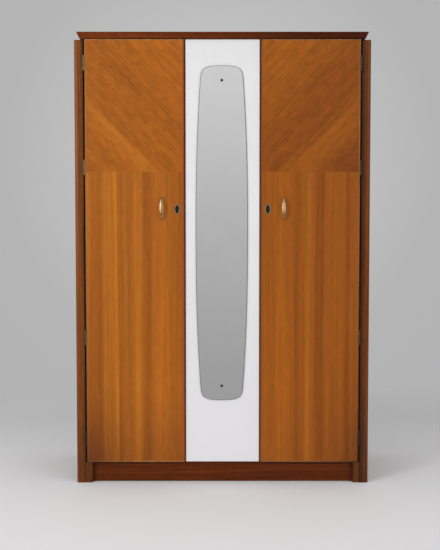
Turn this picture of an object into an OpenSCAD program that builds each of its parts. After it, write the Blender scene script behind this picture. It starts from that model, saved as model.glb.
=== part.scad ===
// Twin-door wardrobe: a panelled carcass with front posts, two overlay doors on butt hinges,
// and a fixed white centre panel that carries a barrel-shaped mirror.
// Frame: +X to the right, +Y to the back, +Z up, origin on the floor under the centre of the whole.

/* [Overall] */
// Width over the two front posts
overall_w = 1170; // [1120:10:1250]
// Depth from the front of the handles to the back edge
overall_d = 540; // [520:5:600]
// Height from the floor to the top of the top board
overall_h = 1790; // [1720:10:1850]

/* [Carcass] */
// Thickness of each side panel
side_t = 19; // [17:1:22]
// Width of each front post
post_w = 35; // [26:1:40]
// Depth of each front post
post_d = 58; // [40:1:90]
// How far the posts' fronts stand behind the doors' faces
post_setback = 3; // [3:0.5:6]
// Radius of the posts' outer front corners
post_round = 12; // [4:1:16]
// Gap between the posts and the top board
post_top_gap = 4.5; // [2:0.5:8]
// Thickness of the top board
top_t = 24; // [18:1:30]
// How far the top board's ends stop short of the posts' outer faces
top_end_inset = 11.5; // [5:0.5:20]
// Undercut of the top board's front and ends
top_undercut = 11; // [6:1:12]
// Height of the underside of the bottom board
base_h = 88; // [70:1:110]
// Thickness of the bottom board and the framing rails
board_t = 18; // [15:1:22]
// How far the plinth stands behind the carcass front
plinth_setback = 4; // [2:1:40]
// Width of the foot blocks beside the posts
foot_w = 27; // [22:1:36]
// Height of the framing rails under the top board
rail_h = 40; // [30:1:60]
// Thickness of the hardboard back
back_t = 3.5; // [3:0.5:5]

/* [Doors] */
// Width of each door
door_w = 392; // [376:1:396]
// Thickness of each door, veneers included
door_t = 20; // [18:1:24]
// Gap between a post and its door, where the hinge knuckles stand
door_reveal = 7; // [7:0.25:8]
// Width of the solid edge lippings
lipping_w = 5; // [4:0.5:8]
// Thickness of the face veneers
veneer_t = 0.8; // [0.6:0.1:1.2]
// Height of the joint between the diagonal and the upright veneers
veneer_joint_h = 1245; // [1160:5:1400]
// Clearance between the doors and the carcass front
door_clearance = 0.8; // [0.6:0.1:1.2]
// Space between the door's top edge and the top board
door_top_gap = 3; // [2:0.5:6]
// Space between a door and the centre panel
centre_gap = 2; // [2:0.5:4]

/* [Centre panel] */
// Thickness of the centre panel, laminate included
panel_t = 12; // [8:1:14]
// Thickness of the white laminate
laminate_t = 1; // [0.8:0.1:1.2]
// Width of the dark lippings at the panel's sides
panel_lipping_w = 3; // [2:0.5:6]
// Width of each centre stile
stile_w = 40; // [34:1:50]
// Depth of the centre stiles and cross rails
stile_d = 22; // [20:1:28]

/* [Mirror] */
// Width of the mirror at its middle
mirror_w = 206; // [170:2:230]
// Height of the mirror
mirror_h = 1328; // [1200:4:1340]
// Height of the mirror's centre above the floor
mirror_z = 998; // [990:1:1010]
// Sideways offset of the mirror
mirror_x = -3; // [-6:1:6]
// Thickness of the glass
glass_t = 4; // [4:0.5:5]
// Distance of each screw from the mirror's end
mirror_screw_inset = 58; // [50:1:80]

/* [Handles and locks] */
// Height of the handles and locks above the floor
lock_z = 1100; // [1050:5:1140]
// Distance of the handles from the doors' inner edges
handle_inset = 91; // [80:1:120]
// Distance of the keyholes from the doors' inner edges
keyhole_inset = 28.5; // [26:0.5:34]
// Distance between the centres of a handle's feet
handle_span = 86; // [76:2:100]
// How far the handles stand out from the doors
handle_out = 22; // [18:1:28]
// Travel of the lock bolts
bolt_travel = 9; // [6:0.5:10]

/* [Hinges] */
// Height of each hinge
hinge_h = 60; // [50:2:76]
// Distance of the outer hinges' centres from the ends of the doors
hinge_inset = 92; // [70:2:160]
// Distance of the inner hinges' centres from the ends of the doors
hinge_inset_inner = 501; // [400:1:600]

/* [Inside] */
// Height of the top of the hat shelf
shelf_z = 1505; // [1450:5:1560]
// Thickness of the hat shelf
shelf_t = 15; // [12:1:18]
// Front edge of the hat shelf, measured back from the carcass front
shelf_back_off = 107; // [60:1:200]
// Radius of the hanging rail
rail_r = 11; // [9:0.5:12.5]
// Drop of the hanging rail's centre below the hat shelf
rail_drop = 55; // [45:5:70]

/* [Hidden] */
$fn = 48;
eps = 0.01;

// Planes, front to back
door_front_y = -overall_d / 2 + handle_out;
door_back_y = door_front_y + door_t;
carcass_y = door_back_y + door_clearance;
top_front_y = door_front_y - top_undercut + 1;
back_y = overall_d / 2;
back_rebate_y = back_y - 5.5;
panel_y = carcass_y - panel_t;

// Heights
top_z = overall_h - top_t;
door_top_z = top_z - door_top_gap;
door_bottom_z = base_h - 3;
door_h = door_top_z - door_bottom_z;
floor_z = base_h + board_t;
rail_z = top_z - rail_h;

// Distances from the middle of the wardrobe
post_out_x = overall_w / 2;
side_out_x = post_out_x - post_w;
side_in_x = side_out_x - side_t;
door_out_x = side_out_x - door_reveal;
door_in_x = door_out_x - door_w;
panel_x = door_in_x - centre_gap;
stile_out_x = door_in_x + 10;
stile_in_x = stile_out_x - stile_w;
handle_x = door_in_x + handle_inset;
keyhole_x = door_in_x + keyhole_inset;

// Hinges: the pin stands in the gap between post and door, level with the door's face
hinge_x = door_out_x + door_reveal / 2;
hinge_y = door_front_y;
hinge_zs = [door_bottom_z + hinge_inset, door_bottom_z + hinge_inset_inner,
            door_top_z - hinge_inset_inner, door_top_z - hinge_inset];
half_gap = door_reveal / 2;
knuckle_r = 3;
pin_r = 1.2;
pin_play = 0.05;
knuckle_count = 5;
knuckle_gap = 0.3;
leaf_t = 1.3;
leaf_front = 3.6;
leaf_back = 18;
leaf_screw_y = (leaf_front + leaf_back) / 2;
hinge_screw_pitch = 20;
screw_r = 1.7;
screw_head_r = 3.4;
fit = 0.05;

// Lock, on the back of the door beside the centre stile
lock_in_x = stile_out_x + 2.5;
lock_w = 40;
lock_h = 56;
lock_t = 11;
bolt_h = 14;
bolt_t = 5;
bolt_len = 24;
bolt_y = door_back_y + lock_t / 2 + 1;

// Mirror outline: sides bowed by a power curve, ends squared off with round corners
mirror_bow = 22.3;
mirror_bow_power = 2.3;
mirror_end_power = 62;
mirror_corner_power = 2.5;
mirror_straight = 0.86;
mirror_screw_zs = [mirror_z - mirror_h / 2 + mirror_screw_inset, mirror_z + mirror_h / 2 - mirror_screw_inset];
washer_t = 1;
glass_back_y = panel_y - washer_t;
glass_front_y = glass_back_y - glass_t;

// Colours
dark_wood = "#5d3114";
door_wood = "#a65f22";
lip_wood = "#9b6137";
plain_wood = "#b98d5c";
brass = "#b89a5e";
steel = "#b9bcbf";

// A box given by its lowest and highest corners
module block(lo, hi) {
    translate(lo) cube(hi - lo);
}

// The children on the left, and mirrored on the right
module both_sides() {
    children();
    mirror([1, 0, 0]) children();
}

// side is -1 for the left and 1 for the right; children are drawn for the left
module on_side(side) {
    if (side < 0) children();
    else mirror([1, 0, 0]) children();
}

// A cylinder of the given length whose axis runs along +Y from the given point
module rod_y(point, r, len) {
    translate(point) rotate([-90, 0, 0]) cylinder(r = r, h = len);
}

// A countersunk wood screw driven along +Y, with its head's face at the origin
module wood_screw(len, play = 0) {
    head_t = screw_head_r - screw_r;
    rotate([-90, 0, 0]) union() {
        translate([0, 0, -play]) cylinder(r1 = screw_head_r + play, r2 = screw_r + play, h = head_t);
        translate([0, 0, head_t - play - eps]) cylinder(r = screw_r + play, h = len - head_t + play + eps);
    }
}

// ---- Hinges, drawn for the left door about the pin ----

// The children as drawn for the post, or turned over for the door
module leaf_side(dir) {
    if (dir < 0) children();
    else mirror([1, 0, 0]) children();
}

function knuckle_z(i) = -hinge_h / 2 + i * hinge_h / knuckle_count;

// One leaf: a plate against the wood at x = -half_gap, and webs to every second knuckle
module leaf(first) {
    seg_h = hinge_h / knuckle_count - knuckle_gap;
    difference() {
        union() {
            for (i = [first : 2 : knuckle_count - 1])
                translate([0, 0, knuckle_z(i) + knuckle_gap / 2]) union() {
                    cylinder(r = knuckle_r, h = seg_h);
                    translate([-half_gap, 0, 0]) cube([leaf_t, leaf_front + eps, seg_h]);
                }
            translate([-half_gap, leaf_front, -hinge_h / 2]) cube([leaf_t, leaf_back - leaf_front, hinge_h]);
        }
        translate([0, 0, -hinge_h / 2 - 1]) cylinder(r = pin_r + pin_play, h = hinge_h + 2);
        leaf_screws(20, fit);
    }
}

// The three screws of a leaf, driven into the wood along -X
module leaf_screws(len, play = 0) {
    for (k = [-1 : 1])
        translate([-half_gap + leaf_t, leaf_screw_y, k * hinge_screw_pitch]) rotate([0, 0, 90]) wood_screw(len, play);
}

// Puts its children at each hinge of the left door
module at_hinges() {
    for (z = hinge_zs) translate([-hinge_x, hinge_y, z]) children();
}

module hinge_frame_leaves() {
    color(brass) both_sides() at_hinges() leaf(0);
}

module hinge_frame_screws() {
    color(brass) both_sides() at_hinges() leaf_screws(20);
}

module hinge_pins() {
    color(steel) both_sides() at_hinges()
        translate([0, 0, -hinge_h / 2]) cylinder(r = pin_r, h = hinge_h);
}

module hinge_leaves(side) {
    color(brass) on_side(side) at_hinges() leaf_side(1) leaf(1);
}

module hinge_screws(side) {
    color(brass) on_side(side) at_hinges() leaf_side(1) leaf_screws(18);
}

// ---- Carcass ----

// The front and both ends lean outwards from the underside to the top arris
module top_board() {
    half = post_out_x - top_end_inset;
    color(dark_wood) intersection() {
        translate([0, back_y, 0]) rotate([90, 0, 0]) linear_extrude(back_y - top_front_y)
            polygon([[-half + top_undercut, top_z], [half - top_undercut, top_z], [half, overall_h], [-half, overall_h]]);
        translate([-half, 0, 0]) rotate([90, 0, 90]) linear_extrude(2 * half)
            polygon([[top_front_y + top_undercut, top_z], [back_y, top_z], [back_y, overall_h], [top_front_y, overall_h]]);
    }
}

module side_panel(side) {
    color(dark_wood) on_side(side) difference() {
        block([-side_out_x, carcass_y, 0], [-side_in_x, back_y, top_z]);
        block([-side_in_x - 9.5, back_rebate_y, 70 - fit], [-side_in_x + 1, back_y + 1, top_z + 1]);
    }
}

// Round outer front corner, square inner one behind the hinge leaves, bevelled front top edge
module post(side) {
    front = door_front_y + post_setback;
    height = top_z - post_top_gap;
    color(dark_wood) on_side(side) difference() {
        linear_extrude(height) union() {
            translate([-post_out_x, front + post_round]) square([post_w, post_d - post_round]);
            translate([-post_out_x + post_round, front]) square([post_w - post_round, post_round + 1]);
            translate([-post_out_x + post_round, front + post_round]) circle(r = post_round);
        }
        translate([-post_out_x - 1, front, height - 5]) rotate([-40, 0, 0]) translate([0, -20, 0]) cube([post_w + 2, 20, 30]);
        at_hinges() leaf_screws(21, fit);
    }
}

// Blocks in front of the side panels, below the doors
module foot_blocks() {
    color(dark_wood) both_sides()
        block([-side_out_x, door_front_y + post_setback + 2, 0], [-side_out_x + foot_w, carcass_y, door_bottom_z - 2]);
}

module bottom_board() {
    color(plain_wood) block([-side_in_x, carcass_y, base_h], [side_in_x, back_rebate_y, floor_z]);
}

module plinth_front() {
    y = carcass_y + plinth_setback;
    color(dark_wood) block([-side_in_x, y, 2], [side_in_x, y + board_t, base_h]);
}

module plinth_back() {
    color(plain_wood) block([-side_in_x, back_rebate_y - board_t, 2], [side_in_x, back_rebate_y, base_h]);
}

module top_front_rail() {
    color(plain_wood) block([-side_in_x, carcass_y, rail_z], [side_in_x, carcass_y + board_t, top_z]);
}

module top_back_rail() {
    color(plain_wood) block([-side_in_x, back_rebate_y - board_t, rail_z], [side_in_x, back_rebate_y, top_z]);
}

module back_panels() {
    color("#8a6a48") both_sides()
        block([-side_in_x - 9.3, back_rebate_y, 70], [-0.5, back_rebate_y + back_t, top_z - 1]);
}

module back_muntin() {
    color(plain_wood) block([-22, back_rebate_y - board_t, floor_z], [22, back_rebate_y, rail_z]);
}

// ---- Fixed centre ----

module centre_stiles() {
    color(plain_wood) both_sides() difference() {
        block([-stile_out_x, carcass_y, floor_z], [-stile_in_x, carcass_y + stile_d, rail_z]);
        block([-stile_out_x - 1, bolt_y - bolt_t / 2 - 0.7, lock_z - bolt_h / 2 - 1],
              [-stile_out_x + bolt_travel + 3, bolt_y + bolt_t / 2 + 0.7, lock_z + bolt_h / 2 + 1]);
    }
}

module centre_cross_rails() {
    color(plain_wood) difference() {
        for (z = mirror_screw_zs)
            block([-stile_in_x, carcass_y, z - 30], [stile_in_x, carcass_y + stile_d, z + 30]);
        for (z = mirror_screw_zs) rod_y([mirror_x, carcass_y - 1, z], 2 + fit, stile_d / 2 + 1);
    }
}

module centre_panel() {
    x = panel_x - panel_lipping_w;
    color("#efeff1") difference() {
        block([-x, panel_y + laminate_t, door_bottom_z], [x, carcass_y, door_top_z]);
        for (z = mirror_screw_zs) rod_y([mirror_x, panel_y - 1, z], 2 + fit, panel_t + 2);
    }
}

module centre_laminate() {
    x = panel_x - panel_lipping_w;
    color("#f1f1f4") difference() {
        block([-x, panel_y, door_bottom_z], [x, panel_y + laminate_t, door_top_z]);
        for (z = mirror_screw_zs) rod_y([mirror_x, panel_y - 1, z], 2 + fit, laminate_t + 2);
    }
}

module centre_lippings() {
    color(dark_wood) both_sides()
        block([-panel_x, panel_y, door_bottom_z], [-panel_x + panel_lipping_w, carcass_y, door_top_z]);
}

// ---- Mirror ----

// Half width of the bowed sides at a height v of the half height, from 0 to 1
function mirror_side(v) = mirror_w / 2 - mirror_bow * pow(v, mirror_bow_power);

// Points of the quarter outline from the middle of the right side to the middle of the top edge
mirror_quarter = concat(
    [for (i = [0 : 9]) let (v = mirror_straight * i / 9) [mirror_side(v), v * mirror_h / 2]],
    [for (a = [2 : 8 : 90]) let (v = pow(sin(a), 2 / mirror_end_power))
        [mirror_side(v) * pow(cos(a), 2 / mirror_corner_power), v * mirror_h / 2]]
);
mirror_half = concat(mirror_quarter, [for (i = [len(mirror_quarter) - 1 : -1 : 0])
    [-mirror_quarter[i][0], mirror_quarter[i][1]]]);
mirror_outline = concat(mirror_half, [for (i = [len(mirror_half) - 2 : -1 : 1])
    [mirror_half[i][0], -mirror_half[i][1]]]);

module mirror_glass() {
    color("#b9bdbd") difference() {
        translate([mirror_x, glass_back_y, mirror_z]) rotate([90, 0, 0]) linear_extrude(glass_t) polygon(mirror_outline);
        for (z = mirror_screw_zs) rod_y([mirror_x, glass_front_y - 1, z], 3, glass_t + 2);
    }
}

module mirror_washers() {
    color("#2c2c2c") for (z = mirror_screw_zs) difference() {
        rod_y([mirror_x, glass_back_y, z], 8, washer_t);
        rod_y([mirror_x, glass_back_y - 1, z], 2 + fit, washer_t + 2);
    }
}

// Dark dome-headed screws through the glass, the washers and the panel
module mirror_screws() {
    dome_h = 3;
    head_r = 5.5;
    ball_r = (head_r * head_r + dome_h * dome_h) / (2 * dome_h);
    color("#15130f") for (z = mirror_screw_zs) union() {
        translate([mirror_x, glass_front_y, z]) rotate([90, 0, 0]) intersection() {
            translate([0, 0, dome_h - ball_r]) sphere(r = ball_r);
            cylinder(r = head_r + 1, h = dome_h + 1);
        }
        rod_y([mirror_x, glass_front_y - eps, z], 2, panel_y - glass_front_y + panel_t + 10);
    }
}

// ---- Inside ----

module hat_shelf() {
    color(plain_wood) block([-side_in_x, carcass_y + shelf_back_off, shelf_z - shelf_t],
                            [side_in_x, back_rebate_y - board_t, shelf_z]);
}

module shelf_battens() {
    color(plain_wood) both_sides()
        block([-side_in_x, carcass_y + shelf_back_off + 10, shelf_z - shelf_t - 18],
              [-side_in_x + 18, back_rebate_y - board_t - 10, shelf_z - shelf_t]);
}

rail_y = 10;
rail_axis_z = shelf_z - shelf_t - rail_drop;

module hanging_rail() {
    half = side_in_x - 4;
    color(steel) translate([-half, rail_y, rail_axis_z]) rotate([0, 90, 0]) difference() {
        cylinder(r = rail_r, h = 2 * half);
        translate([0, 0, -1]) cylinder(r = rail_r - 1.2, h = 2 * half + 2);
    }
}

// Flanged cups screwed to the side panels
module rail_sockets() {
    color(steel) both_sides() translate([-side_in_x, rail_y, rail_axis_z]) rotate([0, 90, 0]) difference() {
        union() {
            cylinder(r = rail_r + 9, h = 3);
            cylinder(r = rail_r + 2.5, h = 16);
        }
        translate([0, 0, 3]) cylinder(r = rail_r + fit, h = 20);
    }
}

// Steel hanger that stops the rail sagging in the middle
module rail_bracket() {
    plate = 3;
    width = 18;
    under = shelf_z - shelf_t;
    color(steel) difference() {
        union() {
            block([-width / 2, rail_y - 25, under - plate], [width / 2, rail_y + 25, under]);
            block([-width / 2, rail_y - plate / 2, rail_axis_z], [width / 2, rail_y + plate / 2, under - eps]);
            translate([-width / 2, rail_y, rail_axis_z]) rotate([0, 90, 0]) cylinder(r = rail_r + 3, h = width);
        }
        translate([-width, rail_y, rail_axis_z]) rotate([0, 90, 0]) cylinder(r = rail_r + fit, h = 2 * width);
    }
}

module strike_plates() {
    color(brass) both_sides() difference() {
        block([-stile_out_x - 1, carcass_y + 0.5, lock_z - 22], [-stile_out_x, carcass_y + 18, lock_z + 22]);
        block([-stile_out_x - 2, bolt_y - bolt_t / 2 - 0.7, lock_z - bolt_h / 2 - 1],
              [-stile_out_x + 1, bolt_y + bolt_t / 2 + 0.7, lock_z + bolt_h / 2 + 1]);
    }
}

// Catches under the top rail, near the doors' inner edges
catch_x = door_in_x + 60;

module magnetic_catches() {
    color("#6b4a2c") both_sides()
        block([-catch_x - 20, carcass_y + 1.5, rail_z - 13], [-catch_x + 20, carcass_y + 16, rail_z]);
}

// ---- Doors, drawn for the left ----

// Every hole in a door: keyhole, handle screws, hinge screws and lock screws
module door_holes() {
    rod_y([-keyhole_x, door_front_y - 1, lock_z], 3.2, door_t + 2);
    block([-keyhole_x - 1.6, door_front_y - 1, lock_z - 9], [-keyhole_x + 1.6, door_back_y + 1, lock_z]);
    for (k = [-1, 1])
        rod_y([-handle_x, door_front_y - 1, lock_z + k * handle_span / 2], 2.1, door_t + 2);
    at_hinges() leaf_side(1) leaf_screws(19, fit);
    lock_screw_places() mirror([0, 1, 0]) wood_screw(lock_t + 13, fit);
}

module lock_screw_places() {
    for (i = [0, 1], k = [-1, 1])
        translate([-lock_in_x - 5 - i * (lock_w - 10), door_back_y + lock_t, lock_z + k * (lock_h / 2 - 6)]) children();
}

module door_core(side) {
    color(plain_wood) on_side(side) difference() {
        block([-door_out_x + lipping_w, door_front_y + veneer_t, door_bottom_z + lipping_w],
              [-door_in_x - lipping_w, door_back_y - veneer_t, door_top_z - lipping_w]);
        door_holes();
    }
}

// Uprights run the full height, and the top and bottom strips fit between them
module door_lippings(side) {
    round_r = 2;
    color(lip_wood) on_side(side) difference() {
        union() {
            for (x = [-door_out_x, -door_in_x - lipping_w])
                block([x, door_front_y, door_bottom_z], [x + lipping_w, door_back_y, door_top_z]);
            for (z = [door_bottom_z, door_top_z - lipping_w])
                block([-door_out_x + lipping_w, door_front_y, z], [-door_in_x - lipping_w, door_back_y, z + lipping_w]);
        }
        for (x = [-door_out_x, -door_in_x])
            translate([x, door_front_y, door_bottom_z - 1]) rotate([0, 0, 45])
                translate([-round_r / 2, -round_r / 2, 0]) cube([round_r, round_r, door_h + 2]);
        door_holes();
    }
}

module face_veneer(side, z0, z1) {
    color(door_wood) on_side(side) difference() {
        block([-door_out_x + lipping_w, door_front_y, z0], [-door_in_x - lipping_w, door_front_y + veneer_t, z1]);
        door_holes();
    }
}

module upper_veneer(side) {
    face_veneer(side, veneer_joint_h, door_top_z - lipping_w);
}

module lower_veneer(side) {
    face_veneer(side, door_bottom_z + lipping_w, veneer_joint_h);
}

module back_veneer(side) {
    color(plain_wood) on_side(side) difference() {
        block([-door_out_x + lipping_w, door_back_y - veneer_t, door_bottom_z + lipping_w],
              [-door_in_x - lipping_w, door_back_y, door_top_z - lipping_w]);
        door_holes();
    }
}

// ---- Door furniture ----

// The bow follows a squared arch from foot to foot; t runs from 0 to 180 degrees
handle_steps = 28;
handle_sides = 16;
arch_power = 0.78;
function handle_rise(t) = (handle_out - 2) * pow(sin(t), arch_power);
function handle_run(t) = -handle_span / 2 * sign(cos(t)) * pow(abs(cos(t)), arch_power);
// Half width and half thickness: round feet, then a flat leaf, widest in the middle
function handle_half_w(t) = 3.2 + 3.3 * pow(sin(t), 2.5) + 1.3 * pow(1 - sin(t), 5);
function handle_half_t(t) = 3 - sin(t) + 1.5 * pow(1 - sin(t), 5);

function handle_ring(t) =
    let (step = 0.5,
         a = max(0, t - step), b = min(180, t + step),
         along = [0, -(handle_rise(b) - handle_rise(a)), handle_run(b) - handle_run(a)],
         dir = (t <= 0) ? [0, -1, 0] : (t >= 180) ? [0, 1, 0] : along / norm(along),
         across = cross([1, 0, 0], dir))
    [for (i = [0 : handle_sides - 1]) let (q = 360 * i / handle_sides)
        [0, -handle_rise(t), handle_run(t)]
            + [1, 0, 0] * handle_half_w(t) * cos(q) + across * handle_half_t(t) * sin(q)];

handle_points = [for (s = [0 : handle_steps]) each handle_ring(180 * s / handle_steps)];
handle_faces = concat(
    [for (s = [0 : handle_steps - 1], i = [0 : handle_sides - 1])
        let (j = (i + 1) % handle_sides, p = s * handle_sides, q = p + handle_sides) each
        [[p + i, q + i, q + j], [p + i, q + j, p + j]]],
    [[for (i = [0 : handle_sides - 1]) i]],
    [[for (i = [handle_sides - 1 : -1 : 0]) handle_steps * handle_sides + i]]
);

module handle(side) {
    color("#c9a26e") on_side(side) translate([-handle_x, door_front_y, lock_z]) difference() {
        polyhedron(points = handle_points, faces = handle_faces);
        for (k = [-1, 1]) rod_y([0, -5, k * handle_span / 2], 2 + fit, 6);
    }
}

module handle_screws(side) {
    color(steel) on_side(side)
        for (k = [-1, 1]) translate([-handle_x, 0, lock_z + k * handle_span / 2]) union() {
            rod_y([0, door_front_y - 4.5, 0], 2, door_t + 4.5 + eps);
            rod_y([0, door_back_y, 0], 4, 2.2);
        }
}

// A shallow oval plate with a raised rim, pierced by the keyhole
function oval(rx, rz) = [for (a = [0 : 9 : 351]) [rx * cos(a), rz * sin(a)]];

module escutcheon(side) {
    color("#3a3128") on_side(side) translate([-keyhole_x, door_front_y, lock_z - 3]) rotate([90, 0, 0]) difference() {
        union() {
            linear_extrude(1.2) polygon(oval(11, 20));
            linear_extrude(2) polygon(oval(8.5, 17.5));
        }
        translate([0, 3, -1]) cylinder(r = 3, h = 4);
        translate([-1.5, -6, -1]) cube([3, 9, 4]);
    }
}

module lock_case(side) {
    color(brass) on_side(side) difference() {
        block([-lock_in_x - lock_w, door_back_y, lock_z - lock_h / 2], [-lock_in_x, door_back_y + lock_t, lock_z + lock_h / 2]);
        block([-lock_in_x - lock_w + 4, bolt_y - bolt_t / 2 - 0.2, lock_z - bolt_h / 2 - 0.3],
              [-lock_in_x + 1, bolt_y + bolt_t / 2 + 0.2, lock_z + bolt_h / 2 + 0.3]);
        rod_y([-keyhole_x, door_back_y - 1, lock_z], 3.2, 4);
        lock_screw_places() mirror([0, 1, 0]) wood_screw(lock_t + 13, fit);
    }
}

module lock_screws(side) {
    color(brass) on_side(side) lock_screw_places() mirror([0, 1, 0]) wood_screw(lock_t + 12);
}

// The notch underneath is where the key's bit throws the bolt
module lock_bolt(side) {
    nose_x = -lock_in_x - 0.5;
    color(steel) on_side(side) difference() {
        block([nose_x - bolt_len, bolt_y - bolt_t / 2, lock_z - bolt_h / 2], [nose_x, bolt_y + bolt_t / 2, lock_z + bolt_h / 2]);
        block([-keyhole_x - 4, bolt_y - bolt_t, lock_z - bolt_h], [-keyhole_x + 4, bolt_y + bolt_t, lock_z - 2]);
    }
}

module catch_plate(side) {
    color(steel) on_side(side)
        block([-catch_x - 16, door_back_y, rail_z - 11], [-catch_x + 16, door_back_y + 1, rail_z - 2]);
}

top_board();
side_panel(-1);  // left_side_panel
side_panel(1);  // right_side_panel
post(-1);  // left_post
post(1);  // right_post
foot_blocks();
bottom_board();
plinth_front();
plinth_back();
top_front_rail();
top_back_rail();
back_panels();
back_muntin();
centre_stiles();
centre_cross_rails();
centre_panel();
centre_laminate();
centre_lippings();
mirror_glass();
mirror_washers();
mirror_screws();
hat_shelf();
shelf_battens();
hanging_rail();
rail_sockets();
rail_bracket();
strike_plates();
magnetic_catches();
hinge_frame_leaves();
hinge_frame_screws();
hinge_pins();
door_core(-1);  // left_door_core
door_lippings(-1);  // left_door_lippings
upper_veneer(-1);  // left_upper_veneer
lower_veneer(-1);  // left_lower_veneer
back_veneer(-1);  // left_back_veneer
handle(-1);  // left_handle
handle_screws(-1);  // left_handle_screws
escutcheon(-1);  // left_escutcheon
lock_case(-1);  // left_lock_case
lock_screws(-1);  // left_lock_screws
lock_bolt(-1);  // left_lock_bolt
catch_plate(-1);  // left_catch_plate
hinge_leaves(-1);  // left_hinge_leaves
hinge_screws(-1);  // left_hinge_screws
door_core(1);  // right_door_core
door_lippings(1);  // right_door_lippings
upper_veneer(1);  // right_upper_veneer
lower_veneer(1);  // right_lower_veneer
back_veneer(1);  // right_back_veneer
handle(1);  // right_handle
handle_screws(1);  // right_handle_screws
escutcheon(1);  // right_escutcheon
lock_case(1);  // right_lock_case
lock_screws(1);  // right_lock_screws
lock_bolt(1);  // right_lock_bolt
catch_plate(1);  // right_catch_plate
hinge_leaves(1);  // right_hinge_leaves
hinge_screws(1);  // right_hinge_screws
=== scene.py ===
import math
import bpy
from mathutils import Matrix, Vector


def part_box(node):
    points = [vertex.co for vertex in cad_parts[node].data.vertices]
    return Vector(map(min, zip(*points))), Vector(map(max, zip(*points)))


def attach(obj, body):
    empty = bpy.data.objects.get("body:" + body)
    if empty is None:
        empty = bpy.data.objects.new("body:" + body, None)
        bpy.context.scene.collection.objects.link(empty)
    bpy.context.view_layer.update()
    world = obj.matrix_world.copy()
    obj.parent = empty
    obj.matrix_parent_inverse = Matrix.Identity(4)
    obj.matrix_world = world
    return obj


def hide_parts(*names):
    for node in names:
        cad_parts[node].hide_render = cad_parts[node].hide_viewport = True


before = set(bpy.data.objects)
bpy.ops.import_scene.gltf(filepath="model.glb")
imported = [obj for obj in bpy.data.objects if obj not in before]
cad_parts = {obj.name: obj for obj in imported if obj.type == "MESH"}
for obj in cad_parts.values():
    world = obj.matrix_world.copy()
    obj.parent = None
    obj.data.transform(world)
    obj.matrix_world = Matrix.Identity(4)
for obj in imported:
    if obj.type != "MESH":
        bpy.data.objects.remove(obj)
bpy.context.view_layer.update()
mm = 0.001

# small helpers

def linear(hexText):
    parts = [int(hexText[i:i + 2], 16) / 255 for i in (0, 2, 4)]
    return [p / 12.92 if p <= 0.04045 else ((p + 0.055) / 1.055) ** 2.4 for p in parts] + [1.0]


def addNode(tree, kind, settings=None, links=None):
    made = tree.nodes.new(kind)
    for key, value in (settings or {}).items():
        setattr(made, key, value)
    for socket, source in (links or {}).items():
        if isinstance(source, bpy.types.NodeSocket):
            tree.links.new(source, made.inputs[socket])
        else:
            made.inputs[socket].default_value = source
    return made


def newFinish(name, **surface):
    mat = bpy.data.materials.new(name)
    mat.use_nodes = True
    tree = mat.node_tree
    tree.nodes.clear()
    out = addNode(tree, "ShaderNodeOutputMaterial")
    shader = addNode(tree, "ShaderNodeBsdfPrincipled", links=surface)
    tree.links.new(shader.outputs[0], out.inputs["Surface"])
    place = addNode(tree, "ShaderNodeTexCoord").outputs["Object"]
    return mat, tree, shader, place


def setRamp(node, stops):
    ramp = node.color_ramp
    while len(ramp.elements) > 1:
        ramp.elements.remove(ramp.elements[0])
    for i, (position, colour) in enumerate(stops):
        stop = ramp.elements[0] if i == 0 else ramp.elements.new(position)
        stop.position = position
        stop.color = linear(colour) if isinstance(colour, str) else [colour] * 3 + [1.0]


def clearSelection():
    if bpy.context.object and bpy.context.object.mode != "OBJECT":
        bpy.ops.object.mode_set(mode="OBJECT")
    bpy.ops.object.select_all(action="DESELECT")


def pickOnly(obj):
    clearSelection()
    obj.select_set(True)
    bpy.context.view_layer.objects.active = obj


def applyModifier(obj, kind, **settings):
    pickOnly(obj)
    modifier = obj.modifiers.new(kind.lower(), kind)
    for key, value in settings.items():
        setattr(modifier, key, value)
    bpy.ops.object.modifier_apply(modifier=modifier.name)


def finishPiece(obj, name, mats, body, replaced=(), angle=35):
    pickOnly(obj)
    bpy.ops.object.transform_apply(location=True, rotation=True, scale=True)
    bpy.ops.object.mode_set(mode="EDIT")
    bpy.ops.mesh.select_all(action="SELECT")
    bpy.ops.mesh.remove_doubles(threshold=0.00001)
    bpy.ops.mesh.normals_make_consistent(inside=False)
    bpy.ops.object.mode_set(mode="OBJECT")
    bpy.ops.object.shade_smooth_by_angle(angle=math.radians(angle))
    obj.name = name
    if len(obj.data.materials) == 0:
        for mat in mats:
            obj.data.materials.append(mat)
    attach(obj, body)
    if replaced:
        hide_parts(*replaced)
    clearSelection()
    return obj


# wood
# sizes in mm: how far the lines wander, and the width and length of each part of the figure
woodGrain = {
    "wobble": 26, "wobbleLength": 700,
    "streakWidth": 7, "streakLength": 420,
    "fibreWidth": 1.6, "fibreLength": 70,
    "fleckWidth": 16, "fleckLength": 34,
    "poreWidth": 0.5, "poreLength": 9,
    "relief": 0.25, "reliefDepth": 0.2,
}
# painted highlights and shade laid over the wood, and the edging strip's blur: places in metres, and the
# tones of the painted shade
paintedLightAndEdging = {
    "highlightFrom": 0.2, "highlightTo": 0.95, "weakestHighlight": 0.4,
    "lowShadeTone": "8c7a6a", "lowShadeReach": 0.2, "lowShadeFrom": 0.1, "footShadeFrom": 0.02, "footShadeTo": 0.42,
    "cornerTone": "55402f", "endShadeTone": "7a6a60", "endShadeSpan": 0.5, "stripBlur": 0.0006,
}
# how far from the middle the edges of the right door and post are; the left ones mirror them
doorInnerEdge, doorOuterEdge = [corner.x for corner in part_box("right_door_lippings")]
postInnerEdge, postOuterEdge = [corner.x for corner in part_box("right_post")]


# lays painted highlights and painted shade over the wood colour, and the real edging strip beside the middle
# panel
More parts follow.
